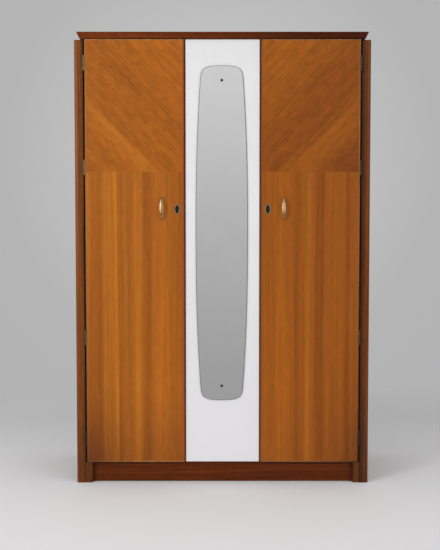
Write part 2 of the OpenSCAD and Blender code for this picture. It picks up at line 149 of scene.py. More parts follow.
def paintLightAndEdging(tree, spec, colour, spot, offMiddle):
    height = spot.outputs["Z"]
    if "edgeHighlight" in spec:  # painted highlight along the outer edge, weakest near the floor
        edgeHighlight = spec["edgeHighlight"]
        highlightStrength = addNode(tree, "ShaderNodeMapRange", links={
            "Value": height, "From Min": paintedLightAndEdging["highlightFrom"], "From Max": paintedLightAndEdging["highlightTo"],
            "To Min": edgeHighlight["strength"] * paintedLightAndEdging["weakestHighlight"], "To Max": edgeHighlight["strength"]})
        highlightMask = addNode(tree, "ShaderNodeMapRange", {"interpolation_type": "SMOOTHSTEP"}, {
            "Value": offMiddle, "From Min": edgeHighlight["edge"] - edgeHighlight["reach"] * mm,
            "From Max": edgeHighlight["edge"] - edgeHighlight["full"] * mm, "To Min": 0.0, "To Max": highlightStrength.outputs[0]})
        colour = addNode(tree, "ShaderNodeMix", {"data_type": "RGBA"}, {
            0: highlightMask.outputs[0], 6: colour, 7: linear(edgeHighlight["tone"])}).outputs[2]
    if "lowShade" in spec:  # painted shade: the wood darker low down, most along the outer edge
        lowShade = spec["lowShade"]
        outward = addNode(tree, "ShaderNodeMapRange", links={
            "Value": offMiddle, "From Min": doorOuterEdge - paintedLightAndEdging["lowShadeReach"], "From Max": doorOuterEdge})
        rising = addNode(tree, "ShaderNodeMapRange", links={
            "Value": height, "From Min": paintedLightAndEdging["lowShadeFrom"], "From Max": lowShade["height"],
            "To Min": lowShade["edge"], "To Max": 0.0})
        foot = addNode(tree, "ShaderNodeMapRange", {"interpolation_type": "SMOOTHSTEP"}, {
            "Value": height, "From Min": paintedLightAndEdging["footShadeFrom"], "From Max": paintedLightAndEdging["footShadeTo"],
            "To Min": lowShade["foot"], "To Max": 0.0})
        amount = addNode(tree, "ShaderNodeMath", {"operation": "MULTIPLY_ADD"}, {
            0: outward.outputs[0], 1: rising.outputs[0], 2: foot.outputs[0]})
        colour = addNode(tree, "ShaderNodeMix", {"data_type": "RGBA", "blend_type": "MULTIPLY"}, {
            0: amount.outputs[0], 6: colour, 7: linear(paintedLightAndEdging["lowShadeTone"])}).outputs[2]
    if "edgeStrip" in spec:  # the edging let into the face beside the middle panel
        strip = spec["edgeStrip"]
        stripEnd = doorInnerEdge + strip["width"] * mm
        edging = addNode(tree, "ShaderNodeMapRange", links={
            "Value": offMiddle, "From Min": stripEnd, "From Max": stripEnd + paintedLightAndEdging["stripBlur"],
            "To Min": strip["strength"], "To Max": 0.0})
        colour = addNode(tree, "ShaderNodeMix", {"data_type": "RGBA"}, {
            0: edging.outputs[0], 6: colour, 7: linear(strip["tone"])}).outputs[2]
    if "corner" in spec:  # painted shadow of the door on the post, beside the door
        corner = spec["corner"]
        doorShadowMask = addNode(tree, "ShaderNodeMapRange", {"interpolation_type": "SMOOTHSTEP"}, {
            "Value": offMiddle, "From Min": postInnerEdge, "From Max": postInnerEdge + corner["width"] * mm,
            "To Min": corner["strength"], "To Max": 0.0})
        colour = addNode(tree, "ShaderNodeMix", {"data_type": "RGBA", "blend_type": "MULTIPLY"}, {
            0: doorShadowMask.outputs[0], 6: colour, 7: linear(paintedLightAndEdging["cornerTone"])}).outputs[2]
    if "rightEndShade" in spec:  # painted shade: the board darker towards its right end, away from the light
        endShadeMask = addNode(tree, "ShaderNodeMapRange", links={
            "Value": spot.outputs["X"], "From Min": -paintedLightAndEdging["endShadeSpan"], "From Max": paintedLightAndEdging["endShadeSpan"],
            "To Min": 0.0, "To Max": spec["rightEndShade"]})
        colour = addNode(tree, "ShaderNodeMix", {"data_type": "RGBA", "blend_type": "MULTIPLY"}, {
            0: endShadeMask.outputs[0], 6: colour, 7: linear(paintedLightAndEdging["endShadeTone"])}).outputs[2]
    return colour


def woodFinish(name, spec):
    grain = dict(woodGrain, **spec.get("grain", {}))
    mat, tree, shader, place = newFinish(name, **{"Specular IOR Level": spec.get("shine", 0.25)})
    spot = addNode(tree, "ShaderNodeSeparateXYZ", links={0: place})
    offMiddle = addNode(tree, "ShaderNodeMath", {"operation": "ABSOLUTE"}, {0: spot.outputs["X"]}).outputs[0]
    if spec.get("bookMatched"):
        place = addNode(tree, "ShaderNodeCombineXYZ", links={
            0: offMiddle, 1: spot.outputs["Y"], 2: spot.outputs["Z"]}).outputs[0]
    # turned so that the grain runs along the new Z
    along = addNode(tree, "ShaderNodeMapping", links={
        "Vector": place, "Rotation": spec.get("turn", (0, 0, 0)),
        "Location": spec.get("shift", (0, 0, 0))}).outputs[0]

    def figure(width, length, **look):
        stretched = addNode(tree, "ShaderNodeMapping", links={
            "Vector": along, "Scale": (1 / (width * mm), 1 / (width * mm), 1 / (length * mm))})
        return addNode(tree, "ShaderNodeTexNoise", links={
            "Vector": stretched.outputs[0], "Scale": 1.0, **look}).outputs["Fac"]

    sway = figure(grain["wobbleLength"] * 0.35, grain["wobbleLength"], Detail=2.0)
    across = addNode(tree, "ShaderNodeSeparateXYZ", links={0: along}).outputs["X"]
    moved = addNode(tree, "ShaderNodeMath", {"operation": "MULTIPLY_ADD"}, {
        0: sway, 1: grain["wobble"] * mm * 2, 2: across}).outputs[0]
    if "bands" in spec:  # broad bands of known tone, side by side
        low, high = [edge + grain["wobble"] * mm for edge in spec["bandSpan"]]
        placed = addNode(tree, "ShaderNodeMapRange", links={
            "Value": moved, "From Min": low, "From Max": high})
        stops = spec["bands"]
    else:  # growth rings cut through: broad lines that wander
        lines = addNode(tree, "ShaderNodeCombineXYZ", links={0: moved})
        rings = addNode(tree, "ShaderNodeMapping", links={
            "Vector": lines.outputs[0], "Scale": (1 / (spec.get("ringWidth", 28) * mm),) * 3})
        placed = addNode(tree, "ShaderNodeTexNoise", links={
            "Vector": rings.outputs[0], "Scale": 1.0, "Detail": 3.0, "Roughness": 0.6})
        stops = list(zip((0.30, 0.5, 0.70), spec["tones"]))
    tones = addNode(tree, "ShaderNodeValToRGB", links={"Fac": placed.outputs[0]})
    setRamp(tones, stops)

    streaks = figure(grain["streakWidth"], grain["streakLength"], Detail=4.0, Roughness=0.6)
    fibres = figure(grain["fibreWidth"], grain["fibreLength"], Detail=3.0, Roughness=0.7)
    pores = figure(grain["poreWidth"], grain["poreLength"], Detail=1.0)
    flecks = figure(grain["fleckWidth"], grain["fleckLength"], Detail=3.0, Roughness=0.55)
    poreDark = addNode(tree, "ShaderNodeMapRange", links={
        "Value": pores, "From Min": 0.60, "From Max": 0.68}).outputs[0]

    colour = tones.outputs["Color"]
    for source, strength, low, high in (
            (streaks, spec.get("streaks", 0.35), 0.28, 0.72),
            (fibres, spec.get("fibres", 0.22), 0.25, 0.75),
            (flecks, spec.get("flecks", 0.12), 0.3, 0.7)):
        spread = addNode(tree, "ShaderNodeMapRange", links={
            "Value": source, "From Min": low, "From Max": high})
        colour = addNode(tree, "ShaderNodeMix", {"data_type": "RGBA", "blend_type": "OVERLAY"}, {
            0: strength, 6: colour, 7: spread.outputs[0]}).outputs[2]
    dark = addNode(tree, "ShaderNodeMath", {"operation": "MULTIPLY"}, {
        0: poreDark, 1: spec.get("pores", 0.3)})
    colour = addNode(tree, "ShaderNodeMix", {"data_type": "RGBA", "blend_type": "MULTIPLY"}, {
        0: dark.outputs[0], 6: colour, 7: linear(spec.get("poreColour", "5a3014"))}).outputs[2]
    tree.links.new(paintLightAndEdging(tree, spec, colour, spot, offMiddle), shader.inputs["Base Color"])

    low, high = spec.get("roughness", (0.36, 0.5))
    rough = addNode(tree, "ShaderNodeMapRange", links={
        "Value": fibres, "From Min": 0.3, "From Max": 0.7, "To Min": low, "To Max": high})
    tree.links.new(rough.outputs[0], shader.inputs["Roughness"])
    relief = addNode(tree, "ShaderNodeMath", {"operation": "MULTIPLY_ADD"}, {
        0: poreDark, 1: -0.6, 2: fibres})  # the pores are little pits
    bump = addNode(tree, "ShaderNodeBump", links={
        "Height": relief.outputs[0], "Strength": grain["relief"], "Distance": grain["reliefDepth"] * mm})
    tree.links.new(bump.outputs[0], shader.inputs["Normal"])
    return mat


print("wood finishes")
upright, lengthways, backToFront = (0, 0, 0), (0, math.pi / 2, 0), (math.pi / 2, 0, 0)

# stained beech or mahogany under satin varnish: dark red-brown, fine straight grain
darkTones = {"tones": ["4f2104", "6d3707", "83490f"], "poreColour": "260202", "pores": 0.45, "shine": 0.2,
             "roughness": (0.3, 0.42), "streaks": 0.4}
darkUpright = woodFinish("Dark stained hardwood upright", dict(darkTones, turn=upright))
# the two posts are lit and shaded copies: the left one carries a strong painted highlight on its outer edge,
# the right one a wide painted shadow from its door; both are painted darker towards the floor
leftPost = woodFinish("Dark stained hardwood left post", dict(
    darkTones, turn=upright,
    corner={"width": 9, "strength": 0.3}, lowShade={"height": 0.5, "edge": 0, "foot": 0.35},
    edgeHighlight={"edge": postOuterEdge, "reach": 22, "full": 5, "tone": "9a5622", "strength": 0.55}))
rightPost = woodFinish("Dark stained hardwood right post", dict(
    darkTones, turn=upright,
    corner={"width": 26, "strength": 0.72}, lowShade={"height": 0.5, "edge": 0, "foot": 0.4},
    edgeHighlight={"edge": postOuterEdge, "reach": 17, "full": 2, "tone": "965220", "strength": 0.2}))
# plinth and feet are given darker tones; the top edge is redder
darkAcross = woodFinish("Dark stained hardwood across", dict(
    darkTones, turn=lengthways, shift=(0.3, 0, 0), tones=["3c1602", "562405", "682d08"], shine=0.1))
footDark = woodFinish("Dark stained hardwood foot", dict(
    darkTones, turn=upright, tones=["3f1a04", "562a06", "68370c"], shift=(0.1, 0, 0)))
# the top board carries painted shade towards its right end
topEdge = woodFinish("Dark stained hardwood top", dict(
    darkTones, turn=lengthways, shift=(0.3, 0, 0), tones=["5a240c", "783610", "8a4314"],
    rightEndShade=0.85, shine=0.14))
# the plywood sides, stained to match: wider, calmer figure
sideSheet = woodFinish("Dark stained plywood", dict(
    darkTones, turn=upright, ringWidth=70, tones=["542905", "6b380b", "7e4818"], shift=(0, 0.7, 0),
    grain={"wobble": 70, "wobbleLength": 1100}))

# teak-toned veneers, book-matched about the middle; satin varnish
# the tones that the veneer leaves run through, from dark to pale
teakTones = ["753704", "834204", "8b4706", "8f4b07", "96500a", "9f560b",
             "a75b0c", "a25c14", "ac5e0d", "af6513", "b86d12"]
# broad bands of the upright veneers: (distance from the door's outer edge in mm, place in teakTones)
uprightBands = {
    "left": [(0, 9), (28, 6), (46, 5), (60, 5), (72, 9), (108, 9), (120, 10), (132, 5), (166, 7),
             (178, 5), (200, 9), (216, 9), (232, 4), (256, 4), (266, 7), (300, 8), (324, 7), (350, 5),
             (392, 4)],
    # the right door's bands sit lower in teakTones: partly its own figure, partly painted shade for the less
    # light it gets
    "right": [(0, 3), (28, 4), (44, 1), (60, 4), (134, 4), (148, 1), (168, 2), (182, 4), (206, 7),
              (218, 4), (250, 2), (264, 4), (316, 5), (344, 4), (392, 4)],
}
# the upper veneers run down towards the middle at this angle; their bands lie across this span, in metres
slant = {"angle": 43.6, "span": (-1.12, -0.47)}
# bands on the slant: (part of the way across, from the top inner corner down, place in teakTones)
slantBands = {
    "left": [(0, 9), (0.06, 7), (0.12, 8), (0.34, 6), (0.41, 5), (0.47, 5), (0.55, 6), (0.6, 5),
             (0.66, 5), (0.682, 8), (0.73, 9), (0.765, 8), (0.785, 6), (0.84, 5), (0.89, 6), (1, 3)],
    # the right door's slanting bands sit lower in teakTones: partly its own figure, partly painted shade
    "right": [(0, 3), (0.14, 5), (0.34, 4), (0.42, 3), (0.5, 2), (0.58, 2), (0.63, 1), (0.665, 3),
              (0.72, 4), (0.765, 4), (0.8, 3), (0.86, 1), (1, 0)],
}
# painted shade low down and painted highlight on the outer arris, both stronger on the left door
veneerLowShade = {"left": {"height": 1.15, "edge": 0.58, "foot": 0.42},
              "right": {"height": 0.65, "edge": 0.45, "foot": 0.15}}
edgeStrips = {"left": {"width": 10, "tone": "b04a24", "strength": 0.42},
              "right": {"width": 5, "tone": "a9683c", "strength": 0.42}}
arrisHighlight = {"left": {"edge": doorOuterEdge, "reach": 6.5, "full": 2, "tone": "d8a878", "strength": 0.6},
               "right": {"edge": doorOuterEdge, "reach": 6.5, "full": 2, "tone": "c49264", "strength": 0.3}}
veneer = {"bookMatched": True, "roughness": (0.36, 0.46), "shine": 0.2, "poreColour": "693508"}


def uprightVeneer(side):
    width = (doorOuterEdge - doorInnerEdge) / mm
    bands = [(1 - d / width, teakTones[tone]) for d, tone in reversed(uprightBands[side])]
    return woodFinish(side.capitalize() + " upright veneer", dict(
        veneer, lowShade=veneerLowShade[side], edgeStrip=edgeStrips[side], edgeHighlight=arrisHighlight[side], bands=bands,
        bandSpan=(doorInnerEdge, doorOuterEdge), streaks=0.17, fibres=0.14, flecks=0.06,
        grain={"wobble": 7, "wobbleLength": 900, "streakWidth": 6, "streakLength": 600}))


def slantVeneer(side):
    bands = [(part, teakTones[tone]) for part, tone in slantBands[side]]
    return woodFinish(side.capitalize() + " slanting veneer", dict(
        veneer, edgeStrip=edgeStrips[side], edgeHighlight=arrisHighlight[side], bands=bands,
        turn=(0, math.radians(-slant["angle"]), 0), bandSpan=slant["span"],
        streaks=0.17, fibres=0.14, flecks=0.14,
        grain={"wobble": 14, "wobbleLength": 500, "streakWidth": 7, "streakLength": 240}))


# the door edges: pale all round as a painted highlight on the arrises, paler on the left door as painted
# light from that side, and darker beside the middle panel
lippingTones = {"left": ["95602f", "a06b38", "ac7742"], "right": ["7e4f28", "8b592f", "976437"]}
# pale plywood and softwood of the inside: light, dry, broad figure
paleTones = {"tones": ["ae824b", "b98d57", "c39a62"], "pores": 0.2, "shine": 0.25, "roughness": (0.5, 0.65),
             "poreColour": "8a6234", "streaks": 0.2, "fibres": 0.16, "ringWidth": 34,
             "grain": {"wobble": 60, "wobbleLength": 600}}
paleUpright = woodFinish("Pale plywood upright", dict(paleTones, turn=upright))
paleAcross = woodFinish("Pale plywood across", dict(paleTones, turn=lengthways, shift=(0.4, 0, 0)))
paleDeep = woodFinish("Pale softwood front to back", dict(paleTones, turn=backToFront))

print("other finishes")


def mottled(tree, place, size, low, high):
    noise = addNode(tree, "ShaderNodeTexNoise", links={
        "Vector": place, "Scale": 1 / (size * mm), "Detail": 3.0})
    return addNode(tree, "ShaderNodeMapRange", links={
        "Value": noise.outputs["Fac"], "From Min": 0.3, "From Max": 0.7,
        "To Min": low, "To Max": high}).outputs[0]


# where the painted shade starts and ends, in metres
shadeFade = {"fullBelow": 0.08, "noneAbove": 1.1, "sideBlend": 0.1}


# size and reliefSize in mm; relief is how strongly the fine grit catches the light
def plainFinish(name, toneA, toneB, size, rough, relief=0.0, reliefSize=1.0, paintedShade=None, **surface):
    mat, tree, shader, place = newFinish(name, **surface)
    colour = addNode(tree, "ShaderNodeMix", {"data_type": "RGBA"}, {
        0: mottled(tree, place, size, 0.0, 1.0), 6: linear(toneA), 7: linear(toneB)})
    if paintedShade:  # painted shade: darker towards the floor, and on the right, where less light falls
        spot = addNode(tree, "ShaderNodeSeparateXYZ", links={0: place})
        low = addNode(tree, "ShaderNodeMapRange", links={
            "Value": spot.outputs["Z"], "From Min": shadeFade["fullBelow"], "From Max": shadeFade["noneAbove"],
            "To Min": 1.0, "To Max": 0.0})
        right = addNode(tree, "ShaderNodeMapRange", links={
            "Value": spot.outputs["X"], "From Min": -shadeFade["sideBlend"], "From Max": shadeFade["sideBlend"],
            "To Min": 0.0, "To Max": paintedShade["right"]})
        most = addNode(tree, "ShaderNodeMath", {"operation": "MAXIMUM"}, {
            0: low.outputs[0], 1: right.outputs[0]})
        colour = addNode(tree, "ShaderNodeMix", {"data_type": "RGBA"}, {
            0: most.outputs[0], 6: colour.outputs[2], 7: linear(paintedShade["tone"])})
    tree.links.new(colour.outputs[2], shader.inputs["Base Color"])
    tree.links.new(mottled(tree, place, size * 0.4, *rough), shader.inputs["Roughness"])
    if relief:
        grit = addNode(tree, "ShaderNodeTexNoise", links={
            "Vector": place, "Scale": 1 / (reliefSize * mm), "Detail": 3.0})
        bump = addNode(tree, "ShaderNodeBump", links={
            "Height": grit.outputs["Fac"], "Strength": relief, "Distance": 0.0002})
        tree.links.new(bump.outputs[0], shader.inputs["Normal"])
    return mat


# melamine laminate: smooth, slightly cool white with a soft shine; painted shade darkens it towards the floor
whiteLaminate = plainFinish("White laminate", "e3e3e4", "e8e8e9", 160, (0.28, 0.36), 0.02, 2.4,
                            {"tone": "d8d7d9", "right": 0.0}, **{"Coat Weight": 0.1})
# silvered plate glass: a clean reflection, very slightly grey
silvered = plainFinish("Silvered glass", "f6f6f6", "faf9f9", 90, (0.012, 0.03), **{"Metallic": 1.0})
# the mirror's ground and bevelled edge: a dull grey-green line round it
groundEdge = plainFinish("Ground glass edge", "4a5250", "5b6462", 8, (0.25, 0.4), **{"Metallic": 0.3})
# hardboard: brown, matt, with a fine fibrous mottle
hardboard = plainFinish("Hardboard", "7d5c3b", "94714a", 5, (0.7, 0.85), 0.5, 1.2)
# polished brass gone a little dull where hands touch it
handleBrass = plainFinish("Polished brass", "9a7e5c", "c2aa88", 14, (0.26, 0.33), 0.02, 4.0,
                          **{"Metallic": 1.0})
# lock cases and strike plates: brushed brass, yellower and duller than the handles
fittingBrass = plainFinish("Satin brass", "a98c52", "c0a468", 7, (0.32, 0.48), 0.15, 1.0,
                           **{"Metallic": 1.0})
# brass hinges browned by age and lacquer; painted shade darkens them towards the floor and on the right side
agedBrass = plainFinish("Aged brass", "6c5b3f", "927e59", 5, (0.42, 0.58), 0.3, 0.9,
                        {"tone": "2e2418", "right": 0.75}, **{"Metallic": 0.9})
# the dark field of the keyhole plate: brown-black, with a faint metal shine
bronzed = plainFinish("Bronzed plate", "1d1712", "33281d", 6, (0.3, 0.5), 0.2, 1.0, **{"Metallic": 0.85})
# the raised rim of the keyhole plate, rubbed pale
rubbedRim = plainFinish("Rubbed nickel rim", "8b826b", "aaa188", 4, (0.32, 0.45), 0.1, 0.8,
                        **{"Metallic": 0.7})
# the screws that hold the mirror: glossy black dots
blackScrew = plainFinish("Black enamelled steel", "14120f", "211d19", 3, (0.3, 0.45), **{"Metallic": 0.5})
# rail, bolts, pins and hidden screws: bright bluish grey with a soft streaky shine
zincSteel = plainFinish("Bright zinc plated steel", "b2b5b8", "c8cacc", 12, (0.26, 0.36), 0.02, 3.0,
                        **{"Metallic": 1.0})
# the catches: brown plastic with a fine moulded grain
brownMoulding = plainFinish("Brown moulded plastic", "4a311d", "5a3d25", 6, (0.42, 0.55), 0.2, 0.6)

# the CAD pieces keep their shape and get finishes; the number is how far their edges are softened, in mm
finishes = {
    "top_board": (topEdge, 1.2), "left_side_panel": (sideSheet, 0.8), "right_side_panel": (sideSheet, 0.8),
    "left_post": (leftPost, 1.5), "right_post": (rightPost, 1.5), "foot_blocks": (footDark, 1.0),
    "bottom_board": (paleAcross, 0.6), "plinth_front": (darkAcross, 1.0), "plinth_back": (paleAcross, 0.6),
    "top_front_rail": (paleAcross, 0.8), "top_back_rail": (paleAcross, 0.8),
    "back_panels": (hardboard, 0.4), "back_muntin": (paleUpright, 0.8),
    "centre_stiles": (paleUpright, 0.8), "centre_cross_rails": (paleAcross, 0.8),
    "centre_panel": (paleUpright, 0), "centre_laminate": (whiteLaminate, 0),
    "centre_lippings": (darkUpright, 0.5),
    "mirror_washers": (blackScrew, 0.2), "mirror_screws": (blackScrew, 0.3),
    "hat_shelf": (paleAcross, 0.8), "shelf_battens": (paleDeep, 0.8), "hanging_rail": (zincSteel, 0.2),
    "rail_sockets": (zincSteel, 0.5), "rail_bracket": (zincSteel, 0.5), "strike_plates": (fittingBrass, 0.2),
    "magnetic_catches": (brownMoulding, 0.8), "hinge_frame_leaves": (agedBrass, 0.2),
    "hinge_frame_screws": (agedBrass, 0.1), "hinge_pins": (zincSteel, 0.2),
}
doorFinishes = {
    "door_core": (paleUpright, 0), "back_veneer": (paleUpright, 0),
    "handle_screws": (zincSteel, 0.3), "lock_case": (fittingBrass, 0.6), "lock_screws": (fittingBrass, 0.1),
    "catch_plate": (zincSteel, 0.2), "hinge_leaves": (agedBrass, 0.2),
    "hinge_screws": (agedBrass, 0.1), "lock_bolt": (zincSteel, 0.3),
}
for side in ("left", "right"):
    for part, finish in doorFinishes.items():
        finishes[side + "_" + part] = finish
    finishes[side + "_door_lippings"] = (woodFinish(side.capitalize() + " door edge hardwood", {
        "tones": lippingTones[side], "edgeStrip": {"width": 6, "tone": "7d3a12", "strength": 0.88},
        "pores": 0.3, "streaks": 0.3, "lowShade": {"height": 1.0, "edge": 0.6, "foot": 0.3}}), 0.7)
    finishes[side + "_upper_veneer"] = (slantVeneer(side), 0)
    finishes[side + "_lower_veneer"] = (uprightVeneer(side), 0)

# round surfaces shade smoothly, flat boards stay flat
turnedParts = {"post", "mirror_washers", "mirror_screws", "hanging_rail", "rail_sockets", "rail_bracket",
               "hinge_frame_leaves", "hinge_frame_screws", "hinge_pins", "handle_screws", "lock_screws",
               "hinge_leaves", "hinge_screws"}

softening = {"weld": 0.005, "segments": 2, "angle": 40}
for nodeName, (mat, edge) in finishes.items():
    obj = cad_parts[nodeName]
    obj.data.materials.clear()
    obj.data.materials.append(mat)
    if nodeName.split("_", 1)[-1] in turnedParts or nodeName in turnedParts:
        obj.data.polygons.foreach_set("use_smooth", [True] * len(obj.data.polygons))
    if edge:
        weld = obj.modifiers.new("weld", "WELD")
        weld.merge_threshold = softening["weld"] * mm
        soften = obj.modifiers.new("soften", "BEVEL")
        soften.width = edge * mm
        soften.segments = softening["segments"]
        soften.limit_method = "ANGLE"
        soften.angle_limit = math.radians(softening["angle"])
        soften.harden_normals = True
        soften.use_clamp_overlap = True
print("CAD pieces finished")

# handles: a bow between two turned feet, swelling to a leaf in the middle
bow = {"span": 86, "out": 22, "rings": 26, "footRadius": 4.2, "disc": 1.2, "waist": 0.5, "neckRadius": 2.5,
       "neckIn": 0.95, "leafHalfWidth": 6.5, "leafPower": 2.6, "halfThickness": 1.9, "archPower": 0.78,
       "footClear": 0.5, "lookAhead": 0.02}


def bowPoint(t):
    rise = (bow["out"] - bow["halfThickness"]) * math.sin(t) ** bow["archPower"]
    run = -bow["span"] / 2 * math.copysign(abs(math.cos(t)) ** bow["archPower"], math.cos(t))
    return Vector((0, -rise, run))


def makeHandle(side):
    low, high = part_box(side + "_handle")
    centre = Vector(((low.x + high.x) / 2, high.y, (low.z + high.z) / 2))
    clearSelection()
    start = centre + bowPoint(0) * mm
    bpy.ops.mesh.primitive_circle_add(vertices=20, radius=bow["footRadius"] * mm, fill_type="NGON",
                                      location=start, rotation=(math.pi / 2, 0, 0))
    obj = bpy.context.object
    bpy.ops.object.transform_apply(location=True, rotation=True, scale=True)
    bpy.ops.object.mode_set(mode="EDIT")
    bpy.ops.mesh.select_all(action="SELECT")

    def step(move):
        bpy.ops.mesh.extrude_region_move(TRANSFORM_OT_translate={"value": move})

    def resize(wide, thick, at):
        bpy.ops.transform.resize(value=(wide, 1, thick), center_override=at)

    def turn(angle, at):
        bpy.ops.transform.rotate(value=angle, orient_axis="X", orient_type="GLOBAL", center_override=at)

    # a turned foot: disc, then a waist
    disc, waist = Vector((0, -bow["disc"] * mm, 0)), Vector((0, -bow["waist"] * mm, 0))
    neck = bow["neckRadius"] / bow["footRadius"]
    step(disc)
    step(waist)
    here = start + disc + waist
    resize(neck, neck, here)
    width, turnedBy = bow["neckRadius"], 0.0
    for i in range(1, bow["rings"]):
        t = math.pi * i / bow["rings"]
        target = centre + bowPoint(t) * mm
        if i == 1 and target.y > here.y - bow["footClear"] * mm:
            continue
        ahead = bowPoint(min(math.pi, t + bow["lookAhead"])) - bowPoint(t - bow["lookAhead"])
        heading = math.atan2(ahead.z, -ahead.y)
        swell = (bow["leafHalfWidth"] - bow["neckRadius"]) * math.sin(t) ** bow["leafPower"]
        leaf = bow["neckRadius"] * bow["neckIn"] + swell
        step(target - here)
        turn(heading - turnedBy, target)
        resize(leaf / width, 1, target)
        here, width, turnedBy = target, leaf, heading
    end = centre + bowPoint(math.pi) * mm + disc + waist
    step(end - here)
    turn(math.pi - turnedBy, end)
    resize(bow["neckRadius"] / width, 1, end)
    step(-waist)
    resize(1 / neck, 1 / neck, end - waist)
    step(-disc)
    bpy.ops.object.mode_set(mode="OBJECT")
    applyModifier(obj, "SUBSURF", levels=2, render_levels=2)
    return finishPiece(obj, side + "_bow_handle", [handleBrass], side + "_door", (side + "_handle",), 180)


# keyhole plates
keyPlate = {"thickness": 1.3, "shoulder": 0.6, "rim": 1.92, "bevel": 0.5, "rimRise": 0.7, "fieldDrop": 0.56,
            "rubbedWidth": 3.6, "keyRise": 3, "keyRound": 3.0, "keySlot": 3.0, "slotLength": 9,
            "cutDepth": 20}


def makeKeyPlate(side):
    low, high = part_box(side + "_escutcheon")
    middle = (low + high) / 2
    halfWide, halfHigh = (high.x - low.x) / 2, (high.z - low.z) / 2
    thickness = keyPlate["thickness"] * mm
    clearSelection()
    bpy.ops.mesh.primitive_cylinder_add(vertices=64, radius=1.0, depth=thickness,
                                        location=(middle.x, high.y - thickness / 2, middle.z),
                                        rotation=(math.pi / 2, 0, 0))
    obj = bpy.context.object
    obj.scale = (halfWide, halfHigh, 1)
    bpy.ops.object.transform_apply(location=True, rotation=True, scale=True)
    front = min(v.co.y for v in obj.data.vertices)
    bpy.ops.object.mode_set(mode="EDIT")
    bpy.ops.mesh.select_mode(type="FACE")
    bpy.ops.mesh.select_all(action="DESELECT")
    bpy.ops.object.mode_set(mode="OBJECT")
    for face in obj.data.polygons:
        face.select = face.normal.y < -0.9 and abs(face.center.y - front) < 0.1 * mm
    bpy.ops.object.mode_set(mode="EDIT")
    bpy.ops.mesh.inset(thickness=keyPlate["shoulder"] * mm)
    bpy.ops.transform.translate(value=(0, -keyPlate["rimRise"] * mm, 0))  # the rim stands up
    bpy.ops.mesh.inset(thickness=keyPlate["rim"] * mm)
    bpy.ops.mesh.inset(thickness=keyPlate["bevel"] * mm)
    bpy.ops.transform.translate(value=(0, keyPlate["fieldDrop"] * mm, 0))  # the field drops again
    bpy.ops.object.mode_set(mode="OBJECT")
    keyCentre = Vector((middle.x, front, middle.z + keyPlate["keyRise"] * mm))
    slotLength, cutDepth = keyPlate["slotLength"] * mm, keyPlate["cutDepth"] * mm
    for kind in ("round", "slot"):
        clearSelection()
        if kind == "round":
            bpy.ops.mesh.primitive_cylinder_add(vertices=32, radius=keyPlate["keyRound"] * mm, depth=cutDepth,
                                                location=keyCentre, rotation=(math.pi / 2, 0, 0))
        else:
            bpy.ops.mesh.primitive_cube_add(size=1, location=keyCentre - Vector((0, 0, slotLength / 2)))
            bpy.context.object.scale = (keyPlate["keySlot"] * mm, cutDepth, slotLength)
        cutter = bpy.context.object
        applyModifier(obj, "BOOLEAN", operation="DIFFERENCE", object=cutter, solver="EXACT")
        bpy.data.objects.remove(cutter)
    obj.data.materials.append(bronzed)
    obj.data.materials.append(rubbedRim)
    rim = Vector((halfWide - keyPlate["rubbedWidth"] * mm, halfHigh - keyPlate["rubbedWidth"] * mm))
    for face in obj.data.polygons:  # the raised rim is rubbed bright
        off = face.center - middle
        onRim = (off.x / rim.x) ** 2 + (off.z / rim.y) ** 2 > 1.0
        face.material_index = 1 if onRim and face.normal.y < 0.4 else 0
    return finishPiece(obj, side + "_keyhole_plate", [], side + "_door", (side + "_escutcheon",), 30)


# mirror
# the sides bow in towards the ends, and the ends are flat with rounded corners
glass = {"bow": 22.3, "bowPower": 2.3, "endPower": 62, "cornerPower": 2.5, "straight": 0.86, "sideSteps": 30,
         "cornerSteps": 90, "edge": 1.8, "screwInset": 5.5, "holeRadius": 3, "cutDepth": 30}


